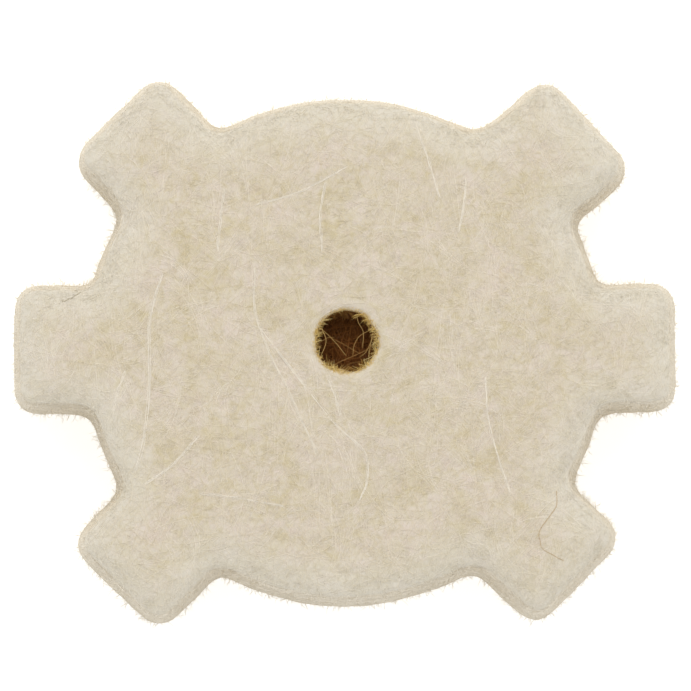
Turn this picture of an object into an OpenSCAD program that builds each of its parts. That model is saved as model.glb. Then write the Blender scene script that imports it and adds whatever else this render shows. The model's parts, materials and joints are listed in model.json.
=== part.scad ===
// Felt polishing pad: one piece of thick pressed wool felt, cut with a die.
// A round disc carries square tabs on six of eight equal positions, and a
// small hole through its middle takes the mandrel. The origin is on the
// hole's axis, at the bottom face. All sizes are in millimetres.

/* [Disc] */
// Disc diameter across its two flanks, along X
flank_d = 20.1; // [18:0.1:22]
// Disc diameter across its two plain arcs, along Y
cap_d = 19.5; // [17:0.1:22]
// Thickness of the felt
thick = 6.35; // [3:0.05:9]

/* [Tabs] */
// Overall length, from tab end to opposite tab end
overall = 25.4; // [24:0.1:28]
// Width of each tab
tab_w = 5; // [4:0.1:5.6]
// Corner radius of a tab's end
tab_corner_r = 0.9; // [0.2:0.05:1.2]
// Fillet radius where a tab's side meets the disc
root_r = 0.5; // [0.1:0.05:0.6]

/* [Hole] */
// Diameter of the mandrel hole
bore_d = 2.38; // [1.5:0.01:4]
// Distance of the hole from the outline's centre, towards +Y
bore_off = 0.3; // [0:0.05:0.5]

/* [Hidden] */
$fn = 96;

tab_step = 45;
tab_angles = [0, 45, 135, 180, 225, 315];
flank_r = flank_d / 2;
cap_r = cap_d / 2;
tip_r = overall / 2;
// The flank arcs end under the slanted tabs, so their ends don't show.
flank_band = 2 * flank_r * sin(tab_step);
through = 1;
// Fillet arcs run this far past tangent, so that outlines cross and don't just touch.
root_bite = 0.01;
felt_colour = [0.83, 0.79, 0.70];

// Radius of the disc in the notch at a given angle
function notch_r(angle) = abs(cos(angle)) > cos(tab_step) ? flank_r : cap_r;

// The disc, a little wider across its flanks than across its plain arcs
module disc_outline() {
    circle(r = cap_r);
    intersection() {
        circle(r = flank_r);
        square([2 * flank_r, flank_band], center = true);
    }
}

// One square-ended tab with rounded corners, along +X from the centre
module tab_outline() {
    corner_x = tip_r - tab_corner_r;
    corner_y = tab_w / 2 - tab_corner_r;
    translate([0, -tab_w / 2])
        square([corner_x, tab_w]);
    translate([0, -corner_y])
        square([tip_r, 2 * corner_y]);
    for (side = [-1, 1])
        translate([corner_x, side * corner_y])
            circle(r = tab_corner_r);
}

// The fillet in the corner between a tab's left side and a disc of radius r
module root_fillet(r) {
    side_y = tab_w / 2;
    centre_y = side_y + root_r;
    centre_x = sqrt(pow(r + root_r, 2) - pow(centre_y, 2));
    touch = [centre_x, centre_y] * r / (r + root_r);
    difference() {
        polygon([
            [centre_x, side_y / 2],
            [centre_x, centre_y],
            touch,
            [touch[0], side_y / 2],
        ]);
        translate([centre_x, centre_y])
            circle(r = root_r + root_bite);
    }
}

// The whole outline, centred on the disc
module pad_outline() {
    disc_outline();
    for (angle = tab_angles)
        rotate(angle) {
            tab_outline();
            root_fillet(notch_r(angle + tab_step / 2));
            mirror([0, 1])
                root_fillet(notch_r(angle - tab_step / 2));
        }
}

// The felt itself, with the mandrel hole through it
module felt_pad() {
    color(felt_colour)
        difference() {
            translate([0, -bore_off, 0])
                linear_extrude(height = thick)
                    pad_outline();
            translate([0, 0, -through])
                cylinder(d = bore_d, h = thick + 2 * through);
        }
}

felt_pad();
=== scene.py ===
"""Felt polishing pad: the looks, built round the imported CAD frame.

One die-cut blank of thick pressed wool felt lies on a pale floor. The blank is
a softened, slightly uneven copy of its CAD solid. Matted wool fibres follow its
surface, cut ends stand out of its walls, loose hairs lie on its face, and fine
fibres cross its scorched hole.
"""

import json  # noqa: E402
import logging  # noqa: E402
import math  # noqa: E402
import random  # noqa: E402
from collections.abc import Callable, Sequence  # noqa: E402
from dataclasses import dataclass, field  # noqa: E402
from enum import Enum  # noqa: E402

import bmesh  # noqa: E402
import bpy  # noqa: E402
from mathutils import Matrix, Vector, noise  # noqa: E402
from mathutils.bvhtree import BVHTree  # noqa: E402
from mathutils.kdtree import KDTree  # noqa: E402


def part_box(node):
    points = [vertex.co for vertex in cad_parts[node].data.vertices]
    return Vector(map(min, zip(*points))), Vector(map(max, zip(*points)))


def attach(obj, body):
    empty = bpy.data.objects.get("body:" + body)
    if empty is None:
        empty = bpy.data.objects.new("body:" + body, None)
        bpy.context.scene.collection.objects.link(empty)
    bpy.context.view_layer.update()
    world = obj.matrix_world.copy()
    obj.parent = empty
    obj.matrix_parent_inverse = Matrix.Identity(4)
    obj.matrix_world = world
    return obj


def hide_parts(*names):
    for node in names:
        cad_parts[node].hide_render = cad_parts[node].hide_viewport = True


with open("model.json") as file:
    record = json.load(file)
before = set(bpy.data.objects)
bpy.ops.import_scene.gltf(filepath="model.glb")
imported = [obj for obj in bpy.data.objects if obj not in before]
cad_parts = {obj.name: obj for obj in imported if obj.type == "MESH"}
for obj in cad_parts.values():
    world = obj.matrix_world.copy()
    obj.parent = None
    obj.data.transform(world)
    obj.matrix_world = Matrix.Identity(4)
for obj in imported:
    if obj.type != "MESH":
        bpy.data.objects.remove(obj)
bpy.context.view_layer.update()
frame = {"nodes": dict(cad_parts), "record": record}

MM = 0.001
BODY = "root"
PAD_NODE = "felt_pad"

log = logging.getLogger("felt_pad")


# --------------------------------------------------------------------------
# Colour and node helpers
# --------------------------------------------------------------------------


def linear(hex_colour: str) -> tuple[float, float, float, float]:
    """Turn an sRGB hex colour into linear RGBA.

    Args:
        hex_colour: six hex digits, with or without a leading "#".

    Returns:
        The colour as linear red, green, blue and an alpha of 1.
    """
    digits = hex_colour.lstrip("#")
    channels = [int(digits[i : i + 2], 16) / 255 for i in (0, 2, 4)]
    red, green, blue = [
        c / 12.92 if c <= 0.04045 else ((c + 0.055) / 1.055) ** 2.4 for c in channels
    ]
    return red, green, blue, 1.0


def per_metre(size_mm: float) -> float:
    """Give the texture scale whose features have a real size in millimetres."""
    return 1.0 / (size_mm * MM)


def add_node(
    tree: bpy.types.NodeTree,
    kind: str,
    settings: dict[str, object] | None = None,
    links: dict[str | int, bpy.types.NodeSocket] | None = None,
    **values: object,
) -> bpy.types.Node:
    """Add one node with its settings, input values and links.

    Args:
        tree: the node tree that the node goes into.
        kind: the node's type. A shader node's goes without the leading "ShaderNode".
        settings: properties to set on the node itself.
        links: input name or index, and the socket that feeds it.
        **values: input name, with "_" for a space, and its fixed value.

    Returns:
        The new node.
    """
    shades = not kind.startswith(("Geometry", "NodeGroup"))
    node = tree.nodes.new("ShaderNode" + kind if shades else kind)
    for name, value in (settings or {}).items():
        setattr(node, name, value)
    for name, value in values.items():
        node.inputs[name.replace("_", " ")].default_value = value
    for name, socket in (links or {}).items():
        tree.links.new(socket, node.inputs[name])
    return node


def blank_material(name: str) -> tuple[bpy.types.Material, bpy.types.NodeTree]:
    """Make a material whose node tree is empty.

    Args:
        name: what the material is.

    Returns:
        The material and its node tree.
    """
    material = bpy.data.materials.new(name)
    material.use_nodes = True
    material.node_tree.nodes.clear()
    return material, material.node_tree


def ramp(
    tree: bpy.types.NodeTree,
    factor: bpy.types.NodeSocket,
    stops: Sequence[tuple[float, str]],
) -> bpy.types.NodeSocket:
    """Add a colour ramp.

    Args:
        tree: the node tree that the ramp goes into.
        factor: the socket that drives the ramp.
        stops: position from 0 to 1 and sRGB hex colour of each stop, in order.

    Returns:
        The ramp's colour socket.
    """
    node = add_node(tree, "ValToRGB", links={"Fac": factor})
    elements = node.color_ramp.elements
    while len(elements) < len(stops):
        elements.new(0.5)
    for element, (position, colour) in zip(elements, stops, strict=True):
        element.position = position
        element.color = linear(colour)
    return node.outputs["Color"]


# --------------------------------------------------------------------------
# Finishes
# --------------------------------------------------------------------------


@dataclass(frozen=True)
class PressedWoolFelt:
    """Pressed wool felt, undyed and cut with a die, with light and shade painted inside its hole.

    To the eye it is cream and dead matt, mottled with straw and rosy patches
    where fibres lie thick or thin, and paler and greyer towards the rim.
    The fine and broad stops say where straw, cream and rose lie in the mottling,
    and the hole shade stops where cream, a golden painted glow, and brown and deep
    brown painted shade lie down the hole.
    """

    cream: str = "DED4C1"
    straw: str = "D3C6A3"
    rose: str = "E2D5C9"
    rim_tint: str = "E5E0D3"
    wall: str = "DCD2BF"
    rim_share: float = 0.78
    wall_share: float = 0.7
    # Painted light in the hole: a golden glow at its mouth, then brown and deep brown shade
    # further down.
    glow_amber: str = "CCB37A"
    shade_umber: str = "825423"
    deep_shade: str = "5C3616"
    bloom: str = "FFF8EA"
    blotch_mm: float = 1.6
    mottle_mm: float = 0.36
    fine_stops: tuple[float, ...] = (0.34, 0.5, 0.66)
    broad_stops: tuple[float, ...] = (0.34, 0.54, 0.7)
    fine_share: float = 0.5
    hole_shade_stops: tuple[float, ...] = (0.0, 0.25, 0.6, 0.95)
    hole_shade_edge: tuple[float, float] = (0.02, 0.15)
    hole_shade_ragged: tuple[float, float] = (0.5, 1.5)
    fibre_mm: float = 0.05
    fibre_length_mm: float = 0.7
    warp_mm: float = 0.9
    turns: tuple[float, ...] = (0.0, 0.55, 1.15, 1.7, 2.2, 2.75)
    roll: float = 0.6
    pitch: float = 1.3
    streak_range: tuple[float, float] = (0.55, 0.85)
    # Painted shade: the share of its colour the felt keeps between its fibres.
    gap_shade: float = 0.91
    streak_bump: float = 0.3
    streak_height_mm: float = 0.03
    tuft_mm: float = 0.2
    tuft_bump: float = 0.45
    tuft_height_mm: float = 0.08
    roughness: float = 0.95
    sheen: float = 0.12
    sheen_roughness: float = 0.6
    specular: float = 0.15

    def mottled(
        self, tree: bpy.types.NodeTree, place: bpy.types.NodeSocket
    ) -> bpy.types.NodeSocket:
        """Add the felt's patches of cream, straw and rose.

        Args:
            tree: the node tree that they go into.
            place: the socket that gives the place on the felt.

        Returns:
            The colour socket.
        """
        blotch = add_node(
            tree, "TexNoise", links={"Vector": place},
            Scale=per_metre(self.blotch_mm), Detail=3.0, Roughness=0.6, Distortion=0.4,
        ).outputs["Fac"]
        mottle = add_node(
            tree, "TexNoise", links={"Vector": place},
            Scale=per_metre(self.mottle_mm), Detail=3.0, Roughness=0.6, Distortion=0.8,
        ).outputs["Fac"]
        wools = (self.straw, self.cream, self.rose)
        fine = ramp(tree, mottle, list(zip(self.fine_stops, wools, strict=True)))
        broad = ramp(tree, blotch, list(zip(self.broad_stops, wools, strict=True)))
        return add_node(
            tree, "Mix", {"data_type": "RGBA"}, {6: fine, 7: broad}, Factor=self.fine_share
        ).outputs[2]

    def rim_and_wall_tinted(
        self, tree: bpy.types.NodeTree, colour: bpy.types.NodeSocket
    ) -> bpy.types.NodeSocket:
        """Turn a colour paler and greyer towards the rim and on the walls.

        Args:
            tree: the node tree that it goes into.
            colour: the socket that gives the colour well inside the face.

        Returns:
            The colour socket. It reads the attributes rim and wall.
        """
        tints = (("rim", self.rim_tint, self.rim_share), ("wall", self.wall, self.wall_share))
        for name, tint, most in tints:
            near = add_node(tree, "Attribute", {"attribute_name": name}).outputs["Fac"]
            share = add_node(
                tree, "MapRange", links={"Value": near}, To_Max=most
            ).outputs["Result"]
            blend = add_node(tree, "Mix", {"data_type": "RGBA"}, {0: share, 6: colour})
            blend.inputs[7].default_value = linear(tint)
            colour = blend.outputs[2]
        return colour

    def streaks(
        self, tree: bpy.types.NodeTree, place: bpy.types.NodeSocket
    ) -> bpy.types.NodeSocket:
        """Add a pattern of fine crossing fibres that run every way.

        Args:
            tree: the node tree that it goes into.
            place: the socket that gives the place on the felt.

        Returns:
            A socket that is high along the fibres and low between them.
        """
        warp = add_node(
            tree, "TexNoise", links={"Vector": place}, Scale=per_metre(self.warp_mm), Detail=1.0
        ).outputs["Color"]
        shift = add_node(tree, "VectorMath", {"operation": "SCALE"}, {0: warp})
        shift.inputs["Scale"].default_value = 0.5 * self.warp_mm * MM
        bent = add_node(
            tree, "VectorMath", {"operation": "ADD"}, {0: place, 1: shift.outputs[0]}
        ).outputs[0]
        across, along = per_metre(self.fibre_mm), per_metre(self.fibre_length_mm)
        highest = None
        for turn in self.turns:
            turned = add_node(
                tree, "Mapping", links={"Vector": bent},
                Rotation=(self.roll * turn, self.pitch * turn, turn),
                Scale=(across, along, across),
            ).outputs[0]
            lines = add_node(
                tree, "TexNoise", links={"Vector": turned}, Scale=1.0, Detail=1.0
            ).outputs["Fac"]
            if highest is not None:
                lines = add_node(
                    tree, "Math", {"operation": "MAXIMUM"}, {0: highest, 1: lines}
                ).outputs[0]
            highest = lines
        low, high = self.streak_range
        return add_node(
            tree, "MapRange", links={"Value": highest}, From_Min=low, From_Max=high
        ).outputs["Result"]

    def hole_glow_and_shade(
        self,
        tree: bpy.types.NodeTree,
        face: bpy.types.NodeSocket,
        streaks: bpy.types.NodeSocket,
    ) -> bpy.types.NodeSocket:
        """Paint the hole's light and shade on the felt, raggedly along its fibres.

        Args:
            tree: the node tree that it goes into.
            face: the socket that gives the colour of the felt away from the hole.
            streaks: the socket that is high along the fibres.

        Returns:
            The colour socket. It reads the attribute bore.
        """
        bore = add_node(tree, "Attribute", {"attribute_name": "bore"}).outputs["Fac"]
        low, high = self.hole_shade_ragged
        ragged = add_node(
            tree, "MapRange", links={"Value": streaks}, To_Min=low, To_Max=high
        ).outputs["Result"]
        # Painted shade: the deeper into the hole, the darker and browner the felt is painted.
        in_shade = add_node(
            tree, "Math", {"operation": "MULTIPLY"}, {0: ragged, 1: bore}
        ).outputs[0]
        hole_colours = (self.cream, self.glow_amber, self.shade_umber, self.deep_shade)
        hole_colour = ramp(tree, in_shade, list(zip(self.hole_shade_stops, hole_colours, strict=True)))
        first, full = self.hole_shade_edge
        reach = add_node(
            tree, "MapRange", links={"Value": in_shade}, From_Min=first, From_Max=full
        ).outputs["Result"]
        return add_node(
            tree, "Mix", {"data_type": "RGBA"}, {0: reach, 6: face, 7: hole_colour}
        ).outputs[2]

    def relief(
        self,
        tree: bpy.types.NodeTree,
        place: bpy.types.NodeSocket,
        streaks: bpy.types.NodeSocket,
    ) -> bpy.types.NodeSocket:
        """Add the felt's small tufts and the fibres that run over them.

        Args:
            tree: the node tree that they go into.
            place: the socket that gives the place on the felt.
            streaks: the socket that is high along the fibres.

        Returns:
            The normal socket.
        """
        tufts = add_node(
            tree, "TexNoise", links={"Vector": place},
            Scale=per_metre(self.tuft_mm), Detail=2.0, Roughness=0.6,
        ).outputs["Fac"]
        lumps = add_node(
            tree, "Bump", links={"Height": tufts},
            Strength=self.tuft_bump, Distance=self.tuft_height_mm * MM,
        ).outputs["Normal"]
        return add_node(
            tree, "Bump", links={"Height": streaks, "Normal": lumps},
            Strength=self.streak_bump, Distance=self.streak_height_mm * MM,
        ).outputs["Normal"]

    def material(self) -> bpy.types.Material:
        """Build the felt's material.

        Returns:
            The finished material, which reads the attributes rim, wall and bore.
        """
        material, tree = blank_material("pressed wool felt")
        place = add_node(tree, "TexCoord").outputs["Object"]
        mottled = self.rim_and_wall_tinted(tree, self.mottled(tree, place))
        streaks = self.streaks(tree, place)
        # Painted shade: the felt is darkened in the gaps between its fibres.
        shade = add_node(
            tree, "MapRange", links={"Value": streaks}, To_Min=self.gap_shade, To_Max=1.0
        ).outputs["Result"]
        face = add_node(
            tree, "VectorMath", {"operation": "SCALE"}, {0: mottled, "Scale": shade}
        ).outputs[0]
        colour = self.hole_glow_and_shade(tree, face, streaks)
        normal = self.relief(tree, place, streaks)
        shader = add_node(
            tree, "BsdfPrincipled", links={"Base Color": colour, "Normal": normal},
            Roughness=self.roughness,
            Sheen_Weight=self.sheen, Sheen_Roughness=self.sheen_roughness,
        )
        shader.inputs["Specular IOR Level"].default_value = self.specular
        shader.inputs["Sheen Tint"].default_value = linear(self.bloom)
        add_node(tree, "OutputMaterial", links={"Surface": shader.outputs["BSDF"]})
        return material


@dataclass(frozen=True)
class WoolFibre:
    """Single wool fibres, undyed or scorched.

    Each one is a scaly, faintly glossy thread. They differ a little in shade
    from one to the next, and that gives the mat its depth. Matted ones also
    take on the shade of the felt they lie in, and lift makes them paler than it,
    as single fibres catch more light than the mass below them.
    """

    name: str
    dark: str
    light: str
    matted: float = 0.0
    lift: float = 1.0
    roughness: float = 0.75
    sheen: float = 0.2
    sheen_roughness: float = 0.5
    specular: float = 0.25

    def material(self) -> bpy.types.Material:
        """Build the fibre's material.

        Returns:
            The finished material, which reads the attributes tone, rim and wall.
        """
        material, tree = blank_material(self.name)
        tone = add_node(tree, "Attribute", {"attribute_name": "tone"}).outputs["Fac"]
        colour = ramp(tree, tone, [(0.0, self.dark), (1.0, self.light)])
        if self.matted:
            felt = PressedWoolFelt()
            place = add_node(tree, "TexCoord").outputs["Object"]
            shared = felt.rim_and_wall_tinted(tree, felt.mottled(tree, place))
            colour = add_node(
                tree, "Mix", {"data_type": "RGBA"}, {6: colour, 7: shared}, Factor=self.matted
            ).outputs[2]
        if self.lift != 1.0:
            colour = add_node(
                tree, "VectorMath", {"operation": "SCALE"}, {0: colour}, Scale=self.lift
            ).outputs[0]
        shader = add_node(
            tree, "BsdfPrincipled", links={"Base Color": colour},
            Roughness=self.roughness,
            Sheen_Weight=self.sheen, Sheen_Roughness=self.sheen_roughness,
        )
        shader.inputs["Specular IOR Level"].default_value = self.specular
        add_node(tree, "OutputMaterial", links={"Surface": shader.outputs["BSDF"]})
        return material


@dataclass(frozen=True)
class PaleTable:
    """Matt white acrylic with a faint light below it, so that shadows stay thin."""

    light: str = "F8F7F5"
    dark: str = "F4F3F0"
    lamp: str = "FFFFFF"
    cloud_mm: float = 60.0
    cloud_stops: tuple[float, float] = (0.3, 0.7)
    glow: float = 0.48
    roughness: float = 0.9
    specular: float = 0.1

    def material(self) -> bpy.types.Material:
        """Build the acrylic's material.

        Returns:
            The finished material.
        """
        material, tree = blank_material("matt white acrylic")
        place = add_node(tree, "TexCoord").outputs["Object"]
        cloud = add_node(
            tree, "TexNoise", links={"Vector": place},
            Scale=per_metre(self.cloud_mm), Detail=2.0,
        ).outputs["Fac"]
        whites = (self.dark, self.light)
        colour = ramp(tree, cloud, list(zip(self.cloud_stops, whites, strict=True)))
        shader = add_node(
            tree, "BsdfPrincipled", links={"Base Color": colour},
            Roughness=self.roughness, Emission_Strength=self.glow,
        )
        shader.inputs["Emission Color"].default_value = linear(self.lamp)
        shader.inputs["Specular IOR Level"].default_value = self.specular
        add_node(tree, "OutputMaterial", links={"Surface": shader.outputs["BSDF"]})
        return material


CREAM_WOOL = WoolFibre("undyed cream wool fibre", "DFD5C3", "E7DFD0", matted=0.7, lift=1.02)
STRAW_WOOL = WoolFibre("undyed straw wool fibre", "D8CCB2", "E0D5BD", matted=0.7, lift=1.02)
PALE_WOOL = WoolFibre("undyed pale wool fibre", "E4DCCD", "EDE6D9", matted=0.5, lift=1.03)
WALL_WOOL = WoolFibre("cut wool fibre", "DBD3C3", "E3DCCE", matted=0.8, lift=1.0)
NAP_WOOL = WoolFibre("short wool nap", "DFD7C7", "E8E0D2", matted=0.7, lift=1.02)
FUZZ_WOOL = WoolFibre("cut wool ends", "DDD7C9", "E8E3D7", matted=0.7, lift=1.02)
LOOSE_WOOL = WoolFibre("loose pale wool hair", "E9E1D1", "F3ECDF")
# Wool in the hole. Its colours are painted light: a golden glow at the mouth, then brown and dark
# brown shade further down.
GLOW_WOOL = WoolFibre("golden wool fibre, painted glow", "C6A04A", "F0DA94")
SHADED_WOOL = WoolFibre("brown wool fibre, painted shade", "8A6430", "BC9A5A")
SHADED_STUBBLE_WOOL = WoolFibre("dark wool stubble, painted shade", "6E4418", "B4863A")
DEEP_SHADE_WOOL = WoolFibre("dark wool fibre, painted shade", "9A602A", "A86E32")
BROWN_HAIR = WoolFibre("brown animal hair", "BCA47C", "C4AC84")
DARK_LINE_WOOL = WoolFibre("dark grey strand", "A89E84", "B0A68C")


# --------------------------------------------------------------------------
# Small shared steps
# --------------------------------------------------------------------------


def degrees_apart(bearing: float, other: float) -> float:
    """Give the angle between two bearings, all in degrees."""
    return abs((bearing - other + 180.0) % 360.0 - 180.0)


def smoothstep(low: float, high: float, value: float) -> float:
    """Rise smoothly from 0 at low to 1 at high."""
    t = min(1.0, max(0.0, (value - low) / (high - low)))
    return t * t * (3.0 - 2.0 * t)


def bearing_of(place: Vector) -> float:
    """Give a place's bearing round the hole's axis, in degrees from +X."""
    return math.degrees(math.atan2(place.y, place.x))


def on_circle(radius: float, angle: float, height: float = 0.0) -> Vector:
    """Give the place at a radius and an angle round the hole's axis."""
    return Vector((radius * math.cos(angle), radius * math.sin(angle), height))


def applied_copy(obj: bpy.types.Object, name: str) -> bpy.types.Object:
    """Apply an object's modifiers, or a curve's bevel, to a new mesh object.

    Args:
        obj: the source, which is removed afterwards.
        name: the new object's name.

    Returns:
        A mesh object at the origin, linked into the scene.
    """
    graph = bpy.context.evaluated_depsgraph_get()
    mesh = bpy.data.meshes.new_from_object(obj.evaluated_get(graph))
    bpy.data.objects.remove(obj)
    result = bpy.data.objects.new(name, mesh)
    bpy.context.scene.collection.objects.link(result)
    mesh.name = name
    return result


def set_attribute(mesh: bpy.types.Mesh, name: str, values: Sequence[float]) -> None:
    """Store one number for each vertex of a mesh.

    Args:
        mesh: the mesh to write to.
        name: the attribute's name.
        values: one value for each vertex.
    """
    attribute = mesh.attributes.new(name, "FLOAT", "POINT")
    attribute.data.foreach_set("value", list(values))


# --------------------------------------------------------------------------
# Spinning wool: centre lines to tubes
# --------------------------------------------------------------------------

# A fibre's ends have this share of its thickness.
TAPER = 0.45
# A fibre is so fine that three sides do.
SIDES = 3


@dataclass
class Strand:
    """One fibre: its centre line, its half thickness and its tone.

    One that is matted also has, for each point, how near it is to the rim and
    how much it belongs to a wall.
    """

    points: list[Vector]
    radius: float
    tone: float
    rims: list[float] = field(default_factory=list)
    sides: list[float] = field(default_factory=list)


def tube_group() -> bpy.types.NodeTree:
    """Make the node group that gives wires their thickness.

    Returns:
        A geometry node group that turns each wire into a closed tube of SIDES
        sides. It reads the attribute thickness.
    """
    name = "wool tubes"
    if name in bpy.data.node_groups:
        return bpy.data.node_groups[name]
    tree = bpy.data.node_groups.new(name, "GeometryNodeTree")
    for way in ("INPUT", "OUTPUT"):
        tree.interface.new_socket("Geometry", in_out=way, socket_type="NodeSocketGeometry")
    wires = add_node(tree, "NodeGroupInput").outputs[0]
    lines = add_node(tree, "GeometryNodeMeshToCurve", links={"Mesh": wires}).outputs[0]
    thickness = add_node(
        tree, "GeometryNodeInputNamedAttribute", {"data_type": "FLOAT"}, Name="thickness"
    ).outputs["Attribute"]
    ring = add_node(
        tree, "GeometryNodeCurvePrimitiveCircle", Resolution=SIDES, Radius=1.0
    ).outputs[0]
    tubes = add_node(
        tree, "GeometryNodeCurveToMesh",
        links={"Curve": lines, "Profile Curve": ring, "Scale": thickness}, Fill_Caps=True,
    ).outputs[0]
    add_node(tree, "NodeGroupOutput", links={0: tubes})
    return tree


def spin_wool(
    name: str, strands: Sequence[Strand], finish: WoolFibre
) -> bpy.types.Object:
    """Turn centre lines into closed, tapering tubes in one mesh.

    Args:
        name: the piece's name.
        strands: the fibres. All have the same number of points.
        finish: what the fibres are made of.

    Returns:
        The finished piece, riding on the pad's body.
    """
    count = len(strands[0].points)
    curve = bpy.data.curves.new(name, "CURVE")
    curve.dimensions = "3D"
    for strand in strands:
        spline = curve.splines.new("POLY")
        spline.points.add(count - 1)
        spline.points.foreach_set("co", [c for p in strand.points for c in (*p, 1.0)])
    source = bpy.data.objects.new(name, curve)
    bpy.context.scene.collection.objects.link(source)
    wires = applied_copy(source, name + "_wires")
    shares = [TAPER] + [1.0] * (count - 2) + [TAPER]
    set_attribute(wires.data, "thickness", [s.radius * share for s in strands for share in shares])
    set_attribute(wires.data, "tone", [s.tone for s in strands for _ in range(count)])
    if strands[0].rims:
        set_attribute(wires.data, "rim", [v for s in strands for v in s.rims])
        set_attribute(wires.data, "wall", [v for s in strands for v in s.sides])
    wires.modifiers.new("tubes", "NODES").node_group = tube_group()
    piece = applied_copy(wires, name)
    piece.data.shade_flat()
    piece.data.materials.clear()
    piece.data.materials.append(finish.material())
    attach(piece, BODY)
    return piece


# --------------------------------------------------------------------------
# The felt blank
# --------------------------------------------------------------------------


class Zone(Enum):
    """Which stretch of the blank's skin wool grows on."""

    FACE = "face"
    RIM = "rim"
    WALL = "wall"
    BASE = "base"


@dataclass(frozen=True)
class StrayTab:
    """A tab that the die set a little askew.

    Its bearing and its turn are in degrees, and stretch is the share by which it
    comes out longer.
    """

    bearing: float
    turn: float
    stretch: float = 1.0


@dataclass(frozen=True)
class Bay:
    """A stretch of the hole's side that bulges inwards, or outwards if its depth is negative.

    Its bearing and its half width are in degrees.
    """

    bearing: float
    half_width: float
    depth: float


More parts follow.
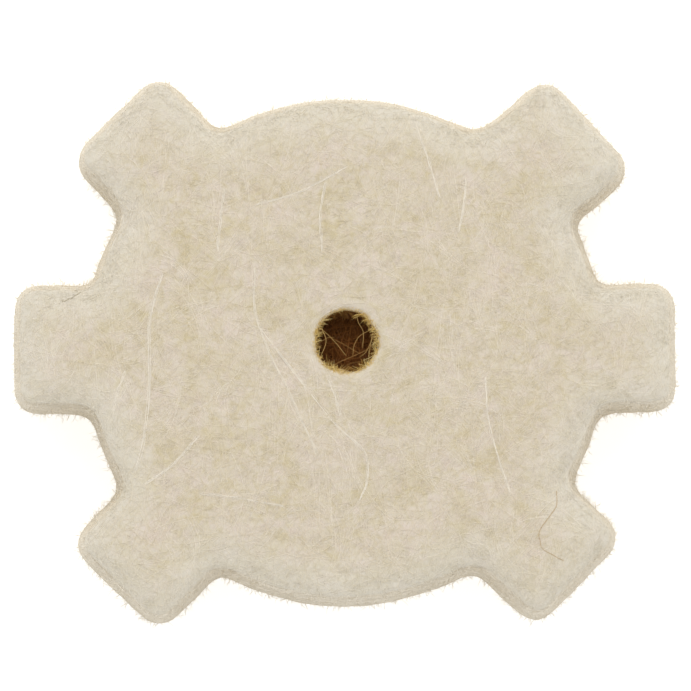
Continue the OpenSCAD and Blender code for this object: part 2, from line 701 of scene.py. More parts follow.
@dataclass
class FeltBlank:
    """The blank: the CAD solid with soft edges, leaning walls and an uneven skin.

    Ranges named after the hole (mouth, outskirts, ragged, walls_from and
    wool_from) are in radii of the hole, and tilts are the vertical part of the
    skin's direction: 1 on the face, 0 on an upright wall.
    """

    voxel: float = 0.13 * MM
    seam: float = 0.001 * MM
    soften_passes: int = 16
    mouth_passes: int = 4
    soften_share: float = 0.5
    mouth: float = 1.6
    outskirts: tuple[float, float] = (2.0, 4.0)
    lean: float = 0.26 * MM
    crown: float = 0.22 * MM
    crown_power: int = 3
    shrink: float = 0.03 * MM
    shift: float = -0.07 * MM
    strays: tuple[StrayTab, ...] = (
        StrayTab(45.0, -1.9, 1.022),
        StrayTab(-45.0, 0.7),
        StrayTab(0.0, 0.9),
        StrayTab(135.0, -0.7),
        StrayTab(180.0, -0.6),
        StrayTab(-135.0, 0.8),
    )
    stray_reach: tuple[float, float] = (8.5 * MM, 11.0 * MM)
    stray_arc: tuple[float, float] = (15.0, 24.0)
    bays: tuple[Bay, ...] = (
        Bay(38.0, 16.0, 0.09 * MM),
        Bay(-98.0, 26.0, 0.11 * MM),
        Bay(-12.0, 14.0, -0.05 * MM),
        Bay(175.0, 30.0, 0.03 * MM),
    )
    ragged: tuple[float, float] = (1.1, 1.6)
    wave: float = 0.05 * MM
    wave_length: float = 2.4 * MM
    wave_fade: float = 0.9
    dimple: float = 0.018 * MM
    dimple_length: float = 0.6 * MM
    dimple_fade: float = 0.8
    octaves: int = 3
    octave_gap: float = 2.0
    rim_band_width: float = 2.4 * MM
    wall_tilt: tuple[float, float] = (0.3, 0.85)
    edge_tilt: float = 0.5
    zone_tilt: float = 0.6
    rim_tilt: tuple[float, float] = (0.2, 0.97)
    walls_from: float = 3.0
    wool_from: float = 2.0
    # Painted light in the hole: a golden glow round its mouth, darkening with depth to full shade.
    shade_ring: float = 0.20 * MM
    shade_inside: float = 0.03 * MM
    shade_start_depth: float = 0.06 * MM
    mouth_glow_share: float = 0.25
    shade_full_depth: float = 0.45 * MM
    probe: float = 1.0 * MM
    low: Vector = field(init=False)
    high: Vector = field(init=False)
    bore_r: float = field(init=False)
    obj: bpy.types.Object = field(init=False)
    skin: BVHTree = field(init=False)
    edge: KDTree = field(init=False)

    def __post_init__(self) -> None:
        """Read the blank's height and hole from the frame."""
        low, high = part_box(PAD_NODE)
        self.low = Vector(low)
        self.high = Vector(high)
        mounts = {m["name"]: m for m in frame["record"]["mounts"]}
        self.bore_r = mounts["mandrel_hole"]["dims"]["r_mm"] * MM

    def build(self) -> bpy.types.Object:
        """Returns:
            The finished piece.
        """
        mesh = self._remeshed()
        self._soften(mesh)
        self._find_edge(mesh)
        self._roughen(mesh)
        self._mark(mesh)
        mesh.shade_smooth()
        mesh.materials.clear()
        mesh.materials.append(PressedWoolFelt().material())
        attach(self.obj, BODY)
        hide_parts(PAD_NODE)
        self.skin = self._bvh()
        return self.obj

    def _remeshed(self) -> bpy.types.Mesh:
        """Copy the CAD node, close its seams and give it an even grid of faces.

        Returns:
            The blank's mesh, whose object is kept in obj.
        """
        shape = bmesh.new()
        shape.from_mesh(frame["nodes"][PAD_NODE].data)
        bmesh.ops.remove_doubles(shape, verts=shape.verts, dist=self.seam)
        mesh = bpy.data.meshes.new("felt_blank")
        shape.to_mesh(mesh)
        shape.free()
        source = bpy.data.objects.new("felt_blank", mesh)
        bpy.context.scene.collection.objects.link(source)
        grid = source.modifiers.new("grid", "REMESH")
        grid.mode = "VOXEL"
        grid.voxel_size = self.voxel
        self.obj = applied_copy(source, "felt_blank")
        return self.obj.data

    def _soften(self, mesh: bpy.types.Mesh) -> None:
        """Round off the cut edges, as felt does when the die lets go of it.

        The hole's mouth stays crisper than the rim.

        Args:
            mesh: the blank's mesh, which is changed.
        """
        shape = bmesh.new()
        shape.from_mesh(mesh)
        away = [v for v in shape.verts if v.co.xy.length > self.mouth * self.bore_r]
        for index in range(self.soften_passes):
            bmesh.ops.smooth_vert(
                shape, verts=shape.verts if index < self.mouth_passes else away,
                factor=self.soften_share, use_axis_x=True, use_axis_y=True, use_axis_z=True,
            )
        bmesh.ops.recalc_face_normals(shape, faces=shape.faces)
        shape.to_mesh(mesh)
        shape.free()

    def _roughen(self, mesh: bpy.types.Mesh) -> None:
        """Lean the walls in towards the face and give the skin its lumps and dimples.

        Args:
            mesh: the blank's mesh, which is changed.
        """
        height = self.high.z - self.low.z
        places = [v.co.copy() for v in mesh.vertices]
        normals = [v.normal.copy() for v in mesh.vertices]
        moved: list[float] = []
        for place, normal in zip(places, normals, strict=True):
            flat = Vector((normal.x, normal.y, 0.0))
            outer = smoothstep(*self.outskirts, place.xy.length / self.bore_r)
            climb = smoothstep(0.0, 1.0, (place.z - self.low.z) / height)
            move = flat * (-(self.shrink + self.lean * climb) * outer)
            move += normal * self._unevenness(place)
            move.z -= self.crown * climb * self.rim_at(place) ** self.crown_power
            move.x += self.shift * outer
            place = self._ragged(self._strayed(place + move))
            moved += (place.x, place.y, max(place.z, self.low.z))
        mesh.vertices.foreach_set("co", moved)
        mesh.update()

    def _unevenness(self, place: Vector) -> float:
        """Find how far the skin stands out at a place.

        Args:
            place: where on the blank.

        Returns:
            The height of the lumps and dimples there, in metres.
        """
        lump = noise.fractal(
            place / self.wave_length, self.wave_fade, self.octave_gap, self.octaves
        )
        pit = noise.fractal(
            place / self.dimple_length, self.dimple_fade, self.octave_gap, self.octaves
        )
        return self.wave * lump + self.dimple * pit

    def _strayed(self, place: Vector) -> Vector:
        """Shift a place a little if it's on a tab that the die set askew.

        Args:
            place: where on the blank.

        Returns:
            Where it goes.
        """
        reach = smoothstep(*self.stray_reach, place.xy.length)
        if not reach:
            return place
        bearing = bearing_of(place)
        for stray in self.strays:
            apart = degrees_apart(bearing, stray.bearing)
            share = reach * (1.0 - smoothstep(*self.stray_arc, apart))
            turned = Matrix.Rotation(math.radians(stray.turn * share), 2) @ place.xy
            turned *= 1.0 + (stray.stretch - 1.0) * share
            place = Vector((turned.x, turned.y, place.z))
        return place

    def _ragged(self, place: Vector) -> Vector:
        """Push a place inwards or outwards if it's beside the hole, which isn't quite round.

        Args:
            place: where on the blank.

        Returns:
            Where it goes.
        """
        radius = place.xy.length
        near = 1.0 - smoothstep(*self.ragged, radius / self.bore_r)
        if not near:
            return place
        bearing = bearing_of(place)
        push = 0.0
        for bay in self.bays:
            apart = degrees_apart(bearing, bay.bearing)
            push += bay.depth * (1.0 - smoothstep(0.0, bay.half_width, apart))
        share = 1.0 - near * push / radius
        return Vector((place.x * share, place.y * share, place.z))

    def _find_edge(self, mesh: bpy.types.Mesh) -> None:
        """Keep the places of the outer walls, to tell how far from the rim a place is.

        Args:
            mesh: the blank's mesh, softened but not yet roughened.
        """
        walls = [
            v.co
            for v in mesh.vertices
            if abs(v.normal.z) < self.edge_tilt and v.co.xy.length > self.walls_from * self.bore_r
        ]
        self.edge = KDTree(len(walls))
        for index, place in enumerate(walls):
            self.edge.insert((place.x, place.y, 0.0), index)
        self.edge.balance()

    def _mark(self, mesh: bpy.types.Mesh) -> None:
        """Store what the felt's finish reads: how near the rim and how upright the skin
        is, and how much painted hole shade it gets.

        Args:
            mesh: the blank's mesh, which gets the attributes rim, wall and bore.
        """
        set_attribute(mesh, "rim", [self.rim_at(v.co) for v in mesh.vertices])
        set_attribute(mesh, "wall", [self.wall_at(v.normal) for v in mesh.vertices])
        set_attribute(mesh, "bore", [self._hole_shade(v.co) for v in mesh.vertices])

    def rim_at(self, place: Vector) -> float:
        """Tell how near the rim a place is: 1 at the rim, 0 well inside it."""
        _, _, gap = self.edge.find((place.x, place.y, 0.0))
        return 1.0 - smoothstep(0.0, self.rim_band_width, gap)

    def wall_at(self, normal: Vector) -> float:
        """Tell how much a patch of skin belongs to a wall: 1 upright, 0 lying flat."""
        return 1.0 - smoothstep(*self.wall_tilt, abs(normal.z))

    def _hole_shade(self, place: Vector) -> float:
        """Tell how much of the hole's painted light and shade the felt gets at a place.

        Args:
            place: where on the blank.

        Returns:
            0 on the face, and up to 1 deep inside the hole.
        """
        radius = place.xy.length
        depth = min(self.high.z - place.z, place.z - self.low.z)
        inside = self.bore_r - self.shade_inside
        ring = 1.0 - smoothstep(inside, self.bore_r + self.shade_ring, radius)
        deep = smoothstep(self.shade_start_depth, self.shade_full_depth, depth)
        return ring * (self.mouth_glow_share + (1.0 - self.mouth_glow_share) * deep)

    def patches(
        self, zone: Zone, count: int, rng: random.Random
    ) -> list[tuple[Vector, Vector]]:
        """Choose places scattered evenly over one zone of the skin.

        Args:
            zone: the stretch of skin.
            count: how many places to choose.
            rng: where the choices come from.

        Returns:
            The places, each with the skin's direction there.
        """
        far = self.wool_from * self.bore_r
        flat = self.zone_tilt
        low, high = self.rim_tilt
        belongs: Callable[[bpy.types.MeshPolygon], bool] = {
            Zone.FACE: lambda f: f.normal.z > flat,
            Zone.RIM: lambda f: low < f.normal.z < high and f.center.xy.length > far,
            Zone.WALL: lambda f: abs(f.normal.z) <= flat and f.center.xy.length > far,
            Zone.BASE: lambda f: f.normal.z < -flat,
        }[zone]
        faces = [f for f in self.obj.data.polygons if belongs(f)]
        chosen = rng.choices(faces, weights=[f.area for f in faces], k=count)
        return [(f.center.copy(), f.normal.copy()) for f in chosen]

    def lip_height(self, radius: float, angle: float, top: bool) -> float:
        """Find the skin's height beside the hole.

        Args:
            radius: the distance from the hole's axis.
            angle: the direction from the hole's axis.
            top: True for the upper face, False for the lower one.

        Returns:
            The height of the skin there, or of the face itself if there is none.
        """
        down = -1.0 if top else 1.0
        face = self.high.z if top else self.low.z
        above = on_circle(radius, angle, face - down * self.probe)
        hit, _, _, _ = self.skin.ray_cast(above, Vector((0, 0, down)), 2.0 * self.probe)
        return hit.z if hit else face

    def _bvh(self) -> BVHTree:
        """Make a search tree over the finished skin.

        Returns:
            The tree.
        """
        shape = bmesh.new()
        shape.from_mesh(self.obj.data)
        tree = BVHTree.FromBMesh(shape)
        shape.free()
        return tree


# --------------------------------------------------------------------------
# Fibres that follow the skin
# --------------------------------------------------------------------------


@dataclass
class Course:
    """Where a fibre starts on the skin, and how it means to run."""

    place: Vector
    normal: Vector
    heading: Vector
    length: float
    bend: float


@dataclass
class FibreMat:
    """A layer of matted wool that lies along the blank's skin.

    On the faces more fibres run along the grain, which is the way the wool was
    carded. On the walls most run level, as the layers of the felt do. A bundle
    is a wisp: fibres that lie side by side and follow one lead.
    """

    name: str
    zone: Zone
    finish: WoolFibre
    count: int
    seed: int
    bundle: int = 1
    spread: float = 0.045 * MM
    shortest: float = 1.4 * MM
    longest: float = 3.6 * MM
    thin: float = 0.008 * MM
    thick: float = 0.014 * MM
    stand: float = 0.008 * MM
    curl: float = 0.2
    clear: float = 1.01
    grain: float = math.radians(64)
    grain_spread: float = math.radians(24)
    grain_share: float = 0.52
    level_spread: float = 0.3
    stagger: float = 0.2
    fan: float = 0.05
    fan_bend: float = 0.03
    shortfall: float = 0.6
    wisp_wobble: float = 0.2
    tuck: float = 2.0
    bob: float = 0.3
    swerve: float = 2.0
    points: int = 8

    def build(self, blank: FeltBlank) -> bpy.types.Object:
        """Grow the mat over its zone.

        Args:
            blank: the felt that the fibres lie on.

        Returns:
            The finished piece.
        """
        rng = random.Random(self.seed)
        strands = []
        for place, normal in blank.patches(self.zone, self.count, rng):
            lead = Course(
                place, normal, self._heading(rng, normal),
                rng.uniform(self.shortest, self.longest), rng.gauss(0.0, self.curl),
            )
            for _ in range(self.bundle):
                strands.append(self._strand(blank, rng, self._beside(blank, rng, lead)))
        return spin_wool(self.name, strands, self.finish)

    def _heading(self, rng: random.Random, normal: Vector) -> Vector:
        """Choose which way a fibre sets off.

        Args:
            rng: where the choice comes from.
            normal: the skin's direction at its start.

        Returns:
            A direction along the skin.
        """
        if self.zone is Zone.WALL:
            level = Vector((0, 0, 1)).cross(normal).normalized()
            return Matrix.Rotation(rng.gauss(0.0, self.level_spread), 3, normal) @ level
        angle = rng.uniform(0, math.tau)
        if rng.random() < self.grain_share:
            angle = rng.gauss(self.grain, self.grain_spread)
        flat = Vector((math.cos(angle), math.sin(angle), 0.0))
        return (flat - normal * flat.dot(normal)).normalized()

    def _beside(self, blank: FeltBlank, rng: random.Random, lead: Course) -> Course:
        """Start a fibre beside the one that leads its bundle.

        Args:
            blank: the felt that the fibres lie on.
            rng: where the differences from the lead come from.
            lead: the lead's own course.

        Returns:
            The fibre's course, which is the lead's own if nothing is bundled.
        """
        if self.bundle == 1:
            return lead
        across = lead.normal.cross(lead.heading) * rng.gauss(0.0, self.spread)
        along = lead.heading * rng.uniform(-self.stagger, self.stagger) * lead.length
        place, normal, _, _ = blank.skin.find_nearest(lead.place + across + along)
        heading = Matrix.Rotation(rng.gauss(0.0, self.fan), 3, normal) @ lead.heading
        length = lead.length * rng.uniform(self.shortfall, 1.0)
        bend = lead.bend + rng.gauss(0.0, self.fan_bend)
        return Course(place, normal, heading, length, bend)

    def _strand(self, blank: FeltBlank, rng: random.Random, course: Course) -> Strand:
        """Walk one fibre over the skin, with its ends tucked in.

        Args:
            blank: the felt that the fibre lies on.
            rng: where its turns, its thickness and its tone come from.
            course: where it starts and how it means to run.

        Returns:
            The fibre, which steers round the hole.
        """
        place, normal, heading = course.place, course.normal, course.heading
        step = course.length / (self.points - 1)
        radius = rng.uniform(self.thin, self.thick)
        lift = rng.uniform(0.0, self.stand)
        wobble = self.curl if self.bundle == 1 else self.wisp_wobble * self.curl
        line: list[Vector] = []
        rims: list[float] = []
        sides: list[float] = []
        for index in range(self.points):
            height = lift if 0 < index < self.points - 1 else -self.tuck * radius
            line.append(place + normal * (height + rng.uniform(-self.bob, self.bob) * lift))
            rims.append(blank.rim_at(place))
            sides.append(blank.wall_at(normal))
            turn = course.bend + rng.gauss(0.0, wobble)
            heading = Matrix.Rotation(turn, 3, normal) @ heading
            found, facing, _, _ = blank.skin.find_nearest(place + heading * step)
            if found.xy.length < blank.bore_r * self.clear:
                outward = Vector((place.x, place.y, 0.0)).normalized()
                heading = (heading + outward * self.swerve).normalized()
                found, facing, _, _ = blank.skin.find_nearest(place + heading * step)
            place, normal = found, facing
            heading = (heading - normal * heading.dot(normal)).normalized()
        return Strand(line, radius, rng.random(), rims, sides)


@dataclass
class Nap:
    """Cut ends and stray fibres that stand out of the skin."""

    name: str
    zone: Zone
    finish: WoolFibre
    count: int
    seed: int
    shortest: float = 0.06 * MM
    longest: float = 0.34 * MM
    thin: float = 0.004 * MM
    thick: float = 0.008 * MM
    upright: float = 0.2
    lean: float = 1.4
    droop: float = 0.8
    drooping: tuple[float, float] = (0.2, 0.6)
    root: float = 0.02 * MM
    points: int = 4

    def build(self, blank: FeltBlank) -> bpy.types.Object:
        """Grow the nap out of its zone.

        Args:
            blank: the felt that the nap grows out of.

        Returns:
            The finished piece.
        """
        rng = random.Random(self.seed)
        strands = [
            self._strand(blank, rng, place, normal)
            for place, normal in blank.patches(self.zone, self.count, rng)
        ]
        return spin_wool(self.name, strands, self.finish)

    def _strand(
        self, blank: FeltBlank, rng: random.Random, place: Vector, normal: Vector
    ) -> Strand:
        """Let one fibre lean out of the skin and curl.

        Args:
            blank: the felt that it grows out of.
            rng: where its length, its lean and its tone come from.
            place: where it leaves the skin.
            normal: the skin's direction there.

        Returns:
            The fibre.
        """
        length = self.shortest + (self.longest - self.shortest) * rng.random() ** 2
        step = length / (self.points - 1)
        side = normal.orthogonal().normalized()
        side = Matrix.Rotation(rng.uniform(0, math.tau), 3, normal) @ side
        heading = (normal + side * rng.uniform(self.upright, self.lean)).normalized()
        swing = Vector([rng.gauss(0, 1) for _ in range(3)]).normalized()
        line = [place - normal * self.root]
        for _ in range(self.points - 1):
            heading = (heading + swing * self.droop * rng.uniform(*self.drooping)).normalized()
            line.append(line[-1] + heading * step)
        rims = [blank.rim_at(place)] * self.points
        sides = [blank.wall_at(normal)] * self.points
        return Strand(line, rng.uniform(self.thin, self.thick), rng.random(), rims, sides)


# --------------------------------------------------------------------------
# Loose hairs
# --------------------------------------------------------------------------


def smooth_route(knots: Sequence[Vector], count: int) -> list[Vector]:
    """Lay an even, smooth line through a few given knots.

    Args:
        knots: the places that the line passes through.
        count: how many points the line gets.

    Returns:
        Points along a Catmull-Rom curve through the knots.
    """
    padded = [2 * knots[0] - knots[1], *knots, 2 * knots[-1] - knots[-2]]
    spans = len(knots) - 1
    line: list[Vector] = []
    for index in range(count):
        along = index / (count - 1) * spans
        span = min(int(along), spans - 1)
        t = along - span
        a, b, c, d = padded[span : span + 4]
        line.append(
            0.5 * (
                2 * b + (c - a) * t + (2 * a - 5 * b + 4 * c - d) * t**2
                + (3 * b - a - 3 * c + d) * t**3
            )
        )
    return line


@dataclass
class LooseHairs:
    """Long hairs that lie on the face, each along its own route.

    A route is a list of places on the face in millimetres. Several hairs may lie
    together along it, each a little aside.
    """

    name: str
    finish: WoolFibre
    radius: float
    routes: Sequence[Sequence[tuple[float, float]]]
    seed: int
    together: int = 1
    spread: float = 0.05 * MM
    points: int = 28
    lift: float = 0.012 * MM
    wander: float = 0.05 * MM
    wander_layers: tuple[float, float] = (0.5, 9.5)
    wander_step: float = 0.35
    phases: float = 100.0
    above: float = 1.0 * MM

    def build(self, blank: FeltBlank) -> bpy.types.Object:
        """Drop the hairs on to the face.

        Args:
            blank: the felt that they lie on.

        Returns:
            The finished piece.
        """
        rng = random.Random(self.seed)
        strands = []
        for route in [r for r in self.routes for _ in range(self.together)]:
            aside = Vector([rng.uniform(-1, 1) * self.spread for _ in range(2)])
            if self.together == 1:
                aside = Vector((0.0, 0.0))
            knots = [Vector((x * MM + aside.x, y * MM + aside.y, 0.0)) for x, y in route]
            line = smooth_route(knots, self.points)
            laid = self._laid(blank, line, rng.uniform(0, self.phases))
            strands.append(Strand(laid, self.radius, rng.random()))
        return spin_wool(self.name, strands, self.finish)

    def _laid(self, blank: FeltBlank, line: Sequence[Vector], phase: float) -> list[Vector]:
        """Drop one hair's line on to the skin, with a slight wander and its ends tucked in.

        Args:
            blank: the felt that it lies on.
            line: the line seen from above.
            phase: a number that makes this hair's wander its own.

        Returns:
            The line on the skin.
        """
        laid = []
        for index, place in enumerate(line):
            east, north = [
                self.wander * noise.noise(Vector((phase, index * self.wander_step, layer)))
                for layer in self.wander_layers
            ]
            start = Vector((place.x + east, place.y + north, blank.high.z + self.above))
            hit, _, _, _ = blank.skin.ray_cast(start, Vector((0, 0, -1)))
            ends = index in (0, self.points - 1)
            laid.append(hit + Vector((0, 0, -self.radius if ends else self.lift)))
        return laid


PALE_ROUTES = (
    ((-3.5, 2.9), (-3.4, 0.8), (-2.2, -1.9), (-1.0, -4.5)),
    ((-3.4, 0.7), (-0.6, -2.9), (0.7, -4.2), (0.8, -5.3), (0.5, -6.1)),
    ((2.5, 8.7), (3.1, 7.0), (3.6, 5.4)),
    ((-3.5, 5.2), (-1.8, 5.7), (0.1, 6.7)),
    ((-0.8, 6.1), (-1.0, 4.8), (-0.9, 3.4)),
    ((4.6, 6.3), (4.5, 5.2), (4.3, 4.2)),
    ((-4.6, 5.9), (-4.8, 4.6), (-4.9, 3.4)),
    ((-7.0, 2.7), (-7.5, 0.8), (-7.5, -1.1), (-7.7, -3.6), (-8.1, -5.1)),
    ((-8.4, -1.1), (-8.7, -1.9), (-8.9, -2.7)),
    ((-5.6, -3.6), (-6.6, -4.7), (-7.7, -5.5)),
    ((-5.6, -5.8), (-4.0, -6.0), (-2.3, -6.3)),
    ((5.3, -1.3), (5.5, -3.4), (6.3, -5.9)),
    ((-0.7, -1.3), (-0.4, -2.1), (-0.2, -2.9)),
)
BROWN_ROUTES = (((8.0, -5.6), (8.0, -6.3), (7.4, -7.2), (7.5, -7.9), (8.4, -8.4)),)
# A short dark grey line on the left tab, drawn as a fine strand.
DARK_LINE_ROUTES = (((-10.85, 1.5), (-10.5, 1.65), (-10.1, 1.87)),)


# --------------------------------------------------------------------------
# Inside the hole
# --------------------------------------------------------------------------


@dataclass
class BoreFibres:
    """A few fine fibres that the punch left stretched across the hole.

    A route is a list of places across the mouth in millimetres.
    """

    name: str = "bore_fibres"
    radius: float = 0.012 * MM
    sizes: tuple[float, float] = (0.8, 1.1)
    depth: float = 0.35 * MM
    shallow: float = 0.3
    slope: float = 0.15 * MM
    points: int = 12
    seed: int = 5
    routes: Sequence[Sequence[tuple[float, float]]] = (
        ((-1.1, 0.55), (-0.85, 0.4), (-0.4, -0.05), (0.0, -0.55)),
        ((-1.15, -0.1), (-0.95, 0.0), (-0.7, 0.15), (-0.45, 0.15)),
        ((-0.5, 0.1), (-0.1, -0.1), (0.15, -0.25), (0.5, -0.45)),
        ((1.1, 0.5), (0.85, 0.4), (0.5, 0.2), (0.3, -0.15), (0.25, -0.55)),
        ((0.4, 1.1), (0.45, 0.75), (0.65, 0.35), (0.62, -0.25)),
        ((1.05, 0.55), (1.05, 0.0), (0.8, -0.3), (0.4, -0.5), (-0.4, -0.85), (-0.5, -1.05)),
        ((0.85, 0.9), (0.75, 0.7), (0.95, 0.45), (1.15, 0.2)),
        ((0.95, 0.75), (1.0, 0.35), (0.93, -0.1), (0.85, -0.6)),
        ((0.5, -0.6), (0.75, -0.4), (0.92, -0.05), (1.1, 0.3)),
        ((-1.0, -0.6), (-0.82, -0.2), (-0.78, 0.1), (-0.95, 0.5)),
        ((-0.2, -1.1), (0.1, -0.85), (0.6, -0.75), (1.0, -0.6)),
    )

    def build(self, blank: FeltBlank) -> bpy.types.Object:
        """String the fibres across the hole's mouth.

        Args:
            blank: the felt that the hole goes through.

        Returns:
            The finished piece.
        """
        rng = random.Random(self.seed)
        strands = []
        for route in self.routes:
            level = blank.high.z - self.depth * rng.uniform(self.shallow, 1.0)
            tilt = rng.uniform(-self.slope, self.slope)
            knots = [
                Vector((x * MM, y * MM, level + tilt * index / len(route)))
                for index, (x, y) in enumerate(route)
            ]
            line = smooth_route(knots, self.points)
            strands.append(Strand(line, self.radius * rng.uniform(*self.sizes), rng.random()))
        # Real fibres, coloured brown as painted shade of the hole.
        return spin_wool(self.name, strands, SHADED_WOOL)


@dataclass
class BoreFringe:
    """Stubble round both mouths of the hole, pointing in and down.

    It grows longer in a few lobes round the hole, whose places follow the seed.
    Root is how far behind the hole's side it starts, deep is how far down its
    side it grows, and proud is how far above the skin it may start.
    """

    name: str
    finish: WoolFibre
    count: int
    seed: int
    root: float
    deep: float
    shortest: float
    longest: float
    radius: float = 0.008 * MM
    sizes: tuple[float, float] = (0.6, 1.0)
    top_share: float = 0.7
    lobes: float = 2.6
    lobe_height: float = 1.6
    shallow: float = 0.2
    proud: float = 0.01 * MM
    swerve: float = 1.0
    droop: float = 0.3
    points: int = 5

    def build(self, blank: FeltBlank) -> bpy.types.Object:
        """Plant the stubble round both mouths of the hole.

        Args:
            blank: the felt that the hole goes through.

        Returns:
            The finished piece.
        """
        rng = random.Random(self.seed)
        strands = [self._strand(blank, rng) for _ in range(self.count)]
        return spin_wool(self.name, strands, self.finish)

    def _strand(self, blank: FeltBlank, rng: random.Random) -> Strand:
        """Let one fibre grow from the hole's side towards its axis.

        Args:
            blank: the felt that the hole goes through.
            rng: where its bearing, its length and its tone come from.

        Returns:
            The fibre.
        """
        angle = rng.uniform(0, math.tau)
        top = rng.random() < self.top_share
        inward = -1.0 if top else 1.0
        around = Vector((math.cos(angle), math.sin(angle), self.seed)) * self.lobes
        lobe = 1.0 + self.lobe_height * noise.noise(around)
        length = rng.uniform(self.shortest, self.longest) * lobe
        start = blank.bore_r + self.root * rng.uniform(self.shallow, 1.0)
        lip = blank.lip_height(start, angle, top)
        level = lip + inward * rng.uniform(-self.proud, self.deep)
        swerve = rng.gauss(0, self.swerve)
        line = []
        for index in range(self.points):
            t = index / (self.points - 1)
            turned = angle + swerve * t * length / blank.bore_r
            drop = inward * self.droop * length * t * t
            line.append(on_circle(start - length * t, turned, level + drop))
        return Strand(line, self.radius * rng.uniform(*self.sizes), rng.random())


@dataclass
class BoreShadePlug:
    """Dark matted fibres half way down the hole, put there as painted shade: they hide the floor
    behind them and keep the hole dark.
    """

    name: str = "bore_shade_plug"
    count: int = 2600
    seed: int = 23
    radius: float = 0.014 * MM
    sizes: tuple[float, float] = (0.6, 1.2)
    band: tuple[float, float] = (0.35, 0.7)
    span: tuple[float, float] = (0.6, math.pi)
    rooted: float = 0.04 * MM
    sag: float = 0.15 * MM
    points: int = 6

    def build(self, blank: FeltBlank) -> bpy.types.Object:
        """Fill the middle of the hole with tangled fibres.

        Args:
            blank: the felt that the hole goes through.

        Returns:
            The finished piece.
        """
        rng = random.Random(self.seed)
        height = blank.high.z - blank.low.z
        reach = blank.bore_r + self.rooted
        strands = []
        for _ in range(self.count):
            level = blank.low.z + height * rng.uniform(*self.band)
            first = rng.uniform(0, math.tau)
            second = first + rng.uniform(*self.span)
            start = on_circle(reach, first)
            end = on_circle(reach, second)
            sag = Vector([rng.gauss(0, self.sag) for _ in range(3)])
            line = []
            for index in range(self.points):
                t = index / (self.points - 1)
                place = start.lerp(end, t) + sag * math.sin(math.pi * t)
                line.append(place + Vector((0, 0, level)))
            strands.append(Strand(line, self.radius * rng.uniform(*self.sizes), rng.random()))
        return spin_wool(self.name, strands, DEEP_SHADE_WOOL)


# --------------------------------------------------------------------------
# Studio
# --------------------------------------------------------------------------


@dataclass(frozen=True)
class Lamp:
    """One soft square lamp: its place and side in metres, its power in watts, its tint."""

    name: str
    place: tuple[float, float, float]
    side: float
    power: float
    tint: str

    def hang(self) -> None:
        """Hang the lamp so that it faces the pad."""
        data = bpy.data.lights.new(self.name, "AREA")
        data.size = self.side
        data.energy = self.power
        data.color = linear(self.tint)[:3]
        lamp = bpy.data.objects.new(self.name, data)
        lamp.location = self.place
        lamp.rotation_euler = Vector(self.place).to_track_quat("Z", "Y").to_euler()
        bpy.context.scene.collection.objects.link(lamp)


@dataclass
class Studio:
    """A pale floor, soft lights and a camera almost straight above the pad."""

    camera_height: float = 0.9
    film_mm: float = 36.0
    field_width: float = 26.35 * MM
    nearest: float = 0.01
    aim: tuple[float, float] = (-0.03 * MM, -0.16 * MM)
    lean: float = math.radians(1.5)
    floor_half: float = 0.6
    floor_gap: float = 0.06 * MM
    sky: float = 0.74
    sky_tint: str = "FFFFFF"
    lamps: tuple[Lamp, ...] = (
        Lamp("key", (-0.02, 0.22, 0.30), 0.30, 0.64, "FFFDFA"),
        Lamp("side", (0.36, 0.06, 0.08), 0.20, 0.10, "FFFFFF"),
    )

    def build(self, blank: FeltBlank) -> None:
        """Set the stage.

        Args:
            blank: the felt, for the heights of its face and its foot.
        """
        self._floor(blank)
        self._camera(blank)
        for lamp in self.lamps:
            lamp.hang()
        self._world()

    def _floor(self, blank: FeltBlank) -> None:
        """Lay the pale floor, a hair's breadth below the felt.

        Args:
            blank: the felt, for the height of its foot.
        """
        shape = bmesh.new()
        bmesh.ops.create_grid(shape, x_segments=1, y_segments=1, size=self.floor_half)
        level = Matrix.Translation((0, 0, blank.low.z - self.floor_gap))
        bmesh.ops.transform(shape, matrix=level, verts=shape.verts)
        mesh = bpy.data.meshes.new("floor")
        shape.to_mesh(mesh)
        shape.free()
        mesh.materials.append(PaleTable().material())
        floor = bpy.data.objects.new("floor", mesh)
        bpy.context.scene.collection.objects.link(floor)

    def _camera(self, blank: FeltBlank) -> None:
        """Hang the camera over the pad, leaning a little towards its front.

        Args:
            blank: the felt, for the height of its face.
        """
        data = bpy.data.cameras.new("camera")
        data.sensor_width = self.film_mm
        data.lens = data.sensor_width * self.camera_height / self.field_width
        camera = bpy.data.objects.new("camera", data)
        target = Vector((self.aim[0], self.aim[1], blank.high.z))
        back = Vector((0, -math.sin(self.lean), math.cos(self.lean)))
        camera.location = target + back * self.camera_height
        camera.rotation_euler = (self.lean, 0, 0)
        data.clip_start = self.nearest
        bpy.context.scene.collection.objects.link(camera)
        bpy.context.scene.camera = camera

    def _world(self) -> None:
        """Light the room evenly, and keep its colours as they are."""
        world = bpy.data.worlds.new("studio")
        world.use_nodes = True
        tree = world.node_tree
        tree.nodes.clear()
        sky = add_node(tree, "Background", Strength=self.sky)
        sky.inputs["Color"].default_value = linear(self.sky_tint)
        add_node(tree, "OutputWorld", links={"Surface": sky.outputs[0]})
        bpy.context.scene.world = world
        bpy.context.scene.view_settings.view_transform = "Standard"


# --------------------------------------------------------------------------
# The whole pad
# --------------------------------------------------------------------------

Layer = FibreMat | Nap | LooseHairs | BoreFibres | BoreFringe | BoreShadePlug


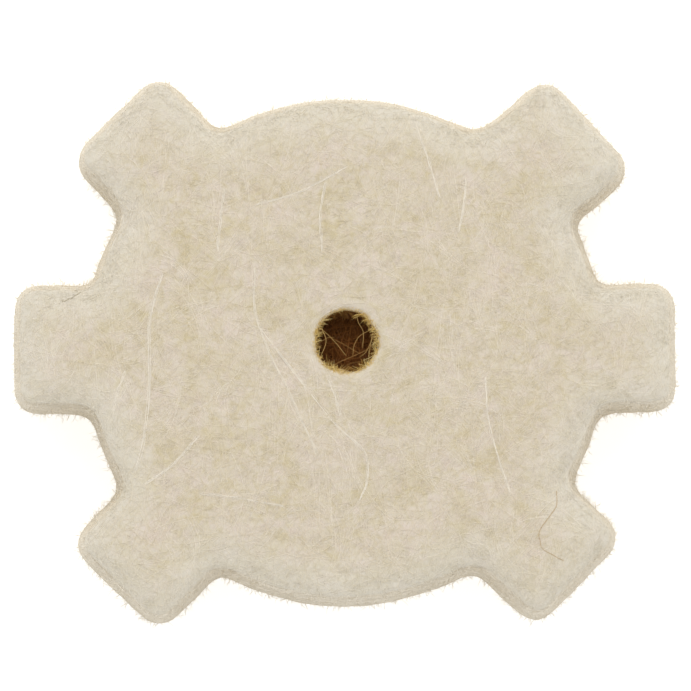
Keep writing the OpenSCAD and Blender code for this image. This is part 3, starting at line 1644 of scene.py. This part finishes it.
def wool_layers() -> tuple[Layer, ...]:
    """List the layers of wool on the blank, in the order they are laid.

    Returns:
        The layers, from the matted fibres to the lint inside the hole.
    """
    return (
        FibreMat("face_fibres_cream", Zone.FACE, CREAM_WOOL, 4200, 1),
        FibreMat("face_fibres_straw", Zone.FACE, STRAW_WOOL, 3000, 2),
        FibreMat(
            "face_wisps", Zone.FACE, PALE_WOOL, 240, 3, bundle=7,
            shortest=1.8 * MM, longest=4.4 * MM, curl=0.14,
        ),
        FibreMat("rim_fibres", Zone.RIM, WALL_WOOL, 2600, 6, shortest=0.6 * MM, longest=1.8 * MM),
        FibreMat(
            "wall_fibres", Zone.WALL, WALL_WOOL, 4400, 4,
            shortest=0.5 * MM, longest=1.6 * MM, curl=0.14,
            thin=0.005 * MM, thick=0.009 * MM, stand=0.004 * MM,
        ),
        FibreMat(
            "wall_wisps", Zone.WALL, WALL_WOOL, 150, 14, bundle=6,
            longest=2.4 * MM, curl=0.14, thin=0.006 * MM, thick=0.01 * MM, stand=0.004 * MM,
        ),
        FibreMat("base_fibres", Zone.BASE, CREAM_WOOL, 2600, 5),
        Nap("face_nap", Zone.FACE, NAP_WOOL, 9000, 11, longest=0.3 * MM, lean=3.0),
        Nap("rim_fuzz", Zone.RIM, FUZZ_WOOL, 7000, 12),
        Nap(
            "wall_fuzz", Zone.WALL, FUZZ_WOOL, 9500, 13,
            longest=0.46 * MM, thin=0.005 * MM, thick=0.010 * MM, lean=2.2,
        ),
        LooseHairs("pale_hairs", LOOSE_WOOL, 0.010 * MM, PALE_ROUTES, 7, together=6),
        LooseHairs("brown_hair", BROWN_HAIR, 0.015 * MM, BROWN_ROUTES, 8),
        LooseHairs("dark_line", DARK_LINE_WOOL, 0.016 * MM, DARK_LINE_ROUTES, 9),
        BoreFibres(),
        BoreFringe(
            "bore_fringe", GLOW_WOOL, 800, 80,
            root=0.16 * MM, deep=0.03 * MM, shortest=0.06 * MM, longest=0.26 * MM,
        ),
        BoreFringe(
            "bore_stubble", SHADED_STUBBLE_WOOL, 700, 18,
            root=0.04 * MM, deep=1.2 * MM, shortest=0.04 * MM, longest=0.22 * MM,
        ),
        # Dark fibres that stand in for the shade deep in the hole.
        BoreShadePlug(),
    )


def main() -> None:
    """Build every piece in order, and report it."""
    logging.basicConfig(level=logging.INFO, format="%(name)s: %(message)s")
    blank = FeltBlank()
    pieces = [blank.build()]
    pieces += [layer.build(blank) for layer in wool_layers()]
    for piece in pieces:
        log.info("%s: %d faces", piece.name, len(piece.data.polygons))
    Studio().build(blank)


if __name__ == "__main__":
    main()
